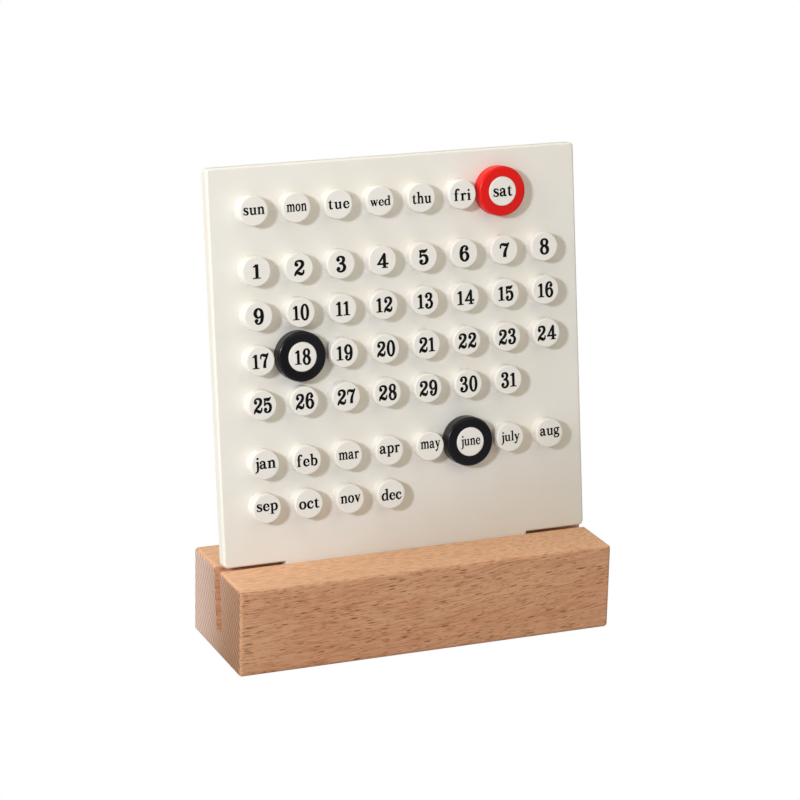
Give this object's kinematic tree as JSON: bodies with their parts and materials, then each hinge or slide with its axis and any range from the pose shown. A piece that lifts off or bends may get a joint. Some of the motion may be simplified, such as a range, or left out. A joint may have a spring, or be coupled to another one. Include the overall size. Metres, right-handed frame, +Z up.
{
  "type": "perpetual peg desk calendar",
  "caption": "Perpetual desk calendar: a flat plate of round pegs with weekday, date and month legends, held leaning in a slotted wooden block, with marker rings that sit on the pegs.",
  "frame": {"origin": "middle of the block's flat underside", "axes": "+Z up, X along the block, the legends face -Y and the plate's top leans back towards +Y"},
  "size_m": [0.135, 0.046, 0.1623],
  "materials": {
    "beech": "oiled beech, satin, fine flecked grain",
    "ivory_plate": "ivory moulded plastic, soft satin",
    "ivory_peg": "ivory moulded plastic, soft satin, printed face",
    "red_ring": "red plastic, semi-gloss",
    "black_ring": "black plastic, semi-gloss"
  },
  "bodies": {
    "base": {"base_block": "beech"},
    "plate": {"calendar_plate": "ivory_plate", "peg_sun": "ivory_peg", "peg_mon": "ivory_peg", "peg_tue": "ivory_peg", "peg_wed": "ivory_peg", "peg_thu": "ivory_peg", "peg_fri": "ivory_peg", "peg_sat": "ivory_peg", "peg_01": "ivory_peg", "peg_02": "ivory_peg", "peg_03": "ivory_peg", "peg_04": "ivory_peg", "peg_05": "ivory_peg", "peg_06": "ivory_peg", "peg_07": "ivory_peg", "peg_08": "ivory_peg", "peg_09": "ivory_peg", "peg_10": "ivory_peg", "peg_11": "ivory_peg", "peg_12": "ivory_peg", "peg_13": "ivory_peg", "peg_14": "ivory_peg", "peg_15": "ivory_peg", "peg_16": "ivory_peg", "peg_17": "ivory_peg", "peg_18": "ivory_peg", "peg_19": "ivory_peg", "peg_20": "ivory_peg", "peg_21": "ivory_peg", "peg_22": "ivory_peg", "peg_23": "ivory_peg", "peg_24": "ivory_peg", "peg_25": "ivory_peg", "peg_26": "ivory_peg", "peg_27": "ivory_peg", "peg_28": "ivory_peg", "peg_29": "ivory_peg", "peg_30": "ivory_peg", "peg_31": "ivory_peg", "peg_jan": "ivory_peg", "peg_feb": "ivory_peg", "peg_mar": "ivory_peg", "peg_apr": "ivory_peg", "peg_may": "ivory_peg", "peg_june": "ivory_peg", "peg_july": "ivory_peg", "peg_aug": "ivory_peg", "peg_sep": "ivory_peg", "peg_oct": "ivory_peg", "peg_nov": "ivory_peg", "peg_dec": "ivory_peg"},
    "weekday_marker": {"ring_weekday": "red_ring"},
    "date_marker": {"ring_date": "black_ring"},
    "month_marker": {"ring_month": "black_ring"}
  },
  "joints": [
    {"name": "plate_lift", "type": "slide", "parent": "base", "child": "plate", "axis": [0, 0.1495, 0.9888], "range_m": [0, 0.025]},
    {"name": "weekday_ring_pull", "type": "slide", "parent": "plate", "child": "weekday_marker", "axis": [0, -0.9888, 0.1495], "range_m": [0, 0.01]},
    {"name": "date_ring_pull", "type": "slide", "parent": "plate", "child": "date_marker", "axis": [0, -0.9888, 0.1495], "range_m": [0, 0.01]},
    {"name": "month_ring_pull", "type": "slide", "parent": "plate", "child": "month_marker", "axis": [0, -0.9888, 0.1495], "range_m": [0, 0.01]}
  ]
}
